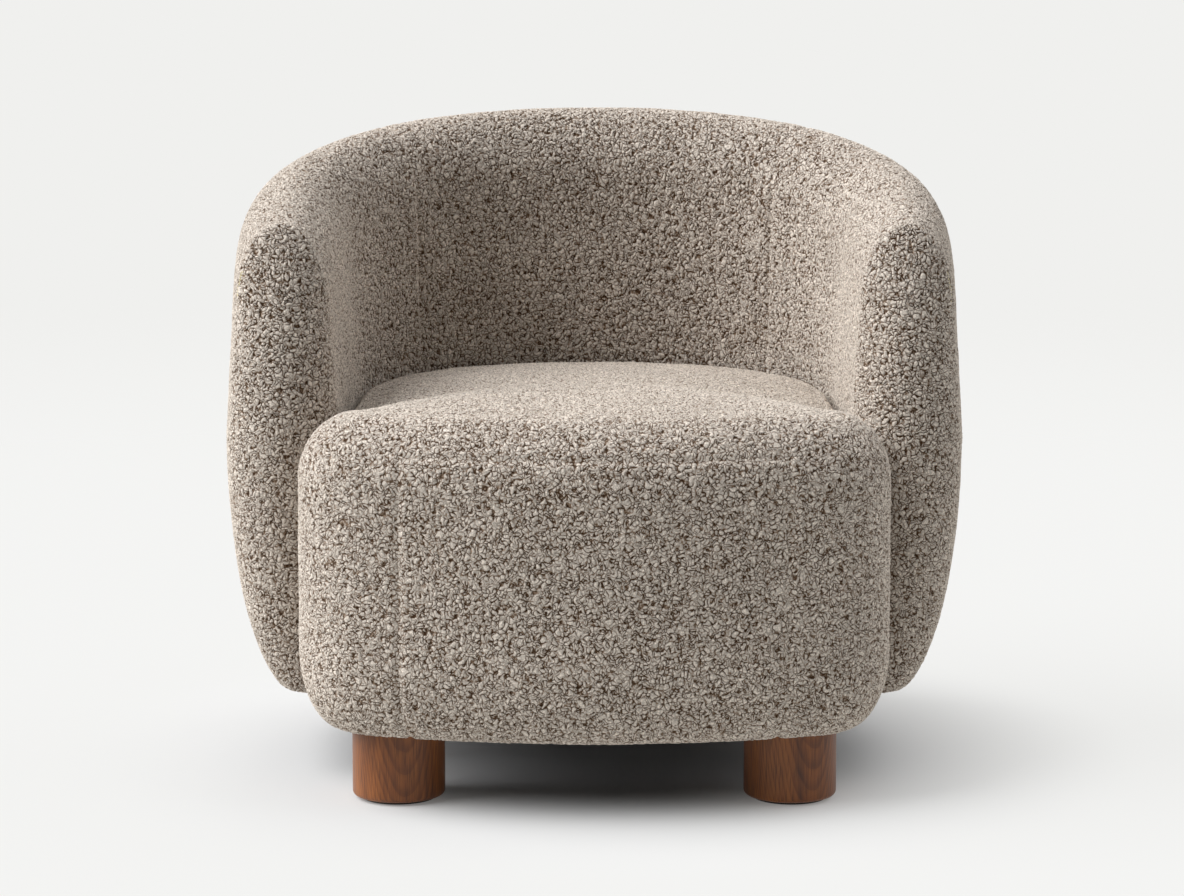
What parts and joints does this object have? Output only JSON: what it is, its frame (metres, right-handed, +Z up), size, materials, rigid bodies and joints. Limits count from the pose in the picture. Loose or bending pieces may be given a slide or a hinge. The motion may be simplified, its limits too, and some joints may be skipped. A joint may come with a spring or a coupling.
{
  "type": "tub chair",
  "caption": "Low upholstered tub chair: curved arms and back in one roll-topped wall round a fixed seat, on short round wooden legs.",
  "frame": {"origin": "on the floor, under the middle of the chair's width and depth", "axes": "+Z up; the sitter faces -Y; +X runs to the right, as seen from the front"},
  "size_m": [0.8, 0.76, 0.697],
  "materials": {
    "boucle": "matte",
    "leg_wood": "satin",
    "glide_plastic": "matte",
    "plywood": "matte",
    "timber": "matte",
    "skin_board": "matte",
    "foam": "matte",
    "webbing": "matte",
    "steel": "satin",
    "dust_cloth": "matte"
  },
  "bodies": {
    "root": {"leg_front_left": "leg_wood", "leg_front_right": "leg_wood", "leg_rear_left": "leg_wood", "leg_rear_right": "leg_wood", "glide_front_left": "glide_plastic", "glide_front_right": "glide_plastic", "glide_rear_left": "glide_plastic", "glide_rear_right": "glide_plastic", "leg_pad_front_left": "plywood", "leg_pad_front_right": "plywood", "leg_pad_rear_left": "plywood", "leg_pad_rear_right": "plywood", "leg_bolts": "steel", "tee_nuts": "steel", "frame_screws": "steel", "base_panel": "plywood", "dust_cover": "dust_cloth", "seat_post_front_left": "timber", "seat_post_front_right": "timber", "seat_post_side_left": "timber", "seat_post_side_right": "timber", "seat_post_rear_left": "timber", "seat_post_rear_right": "timber", "deck_rail_front": "plywood", "deck_rail_left": "plywood", "deck_rail_right": "plywood", "deck_rail_rear": "plywood", "seat_front_board": "skin_board", "long_strap_1": "webbing", "long_strap_2": "webbing", "long_strap_3": "webbing", "long_strap_4": "webbing", "cross_strap_1": "webbing", "cross_strap_2": "webbing", "cross_strap_3": "webbing", "seat_foam": "foam", "seat_border_foam": "foam", "seat_cover": "boucle", "seat_front_panel": "boucle", "tub_bottom_rail": "plywood", "tub_middle_rail": "plywood", "tub_top_rail": "plywood", "upright_1": "timber", "upright_2": "timber", "upright_3": "timber", "upright_4": "timber", "upright_5": "timber", "upright_6": "timber", "upright_7": "timber", "tub_outer_board": "skin_board", "tub_inner_board": "skin_board", "back_foam": "foam", "arm_foam_left": "foam", "arm_foam_right": "foam", "inside_back_cover": "boucle", "outside_back_cover": "boucle", "arm_cover_left": "boucle", "arm_cover_right": "boucle"}
  },
  "joints": []
}
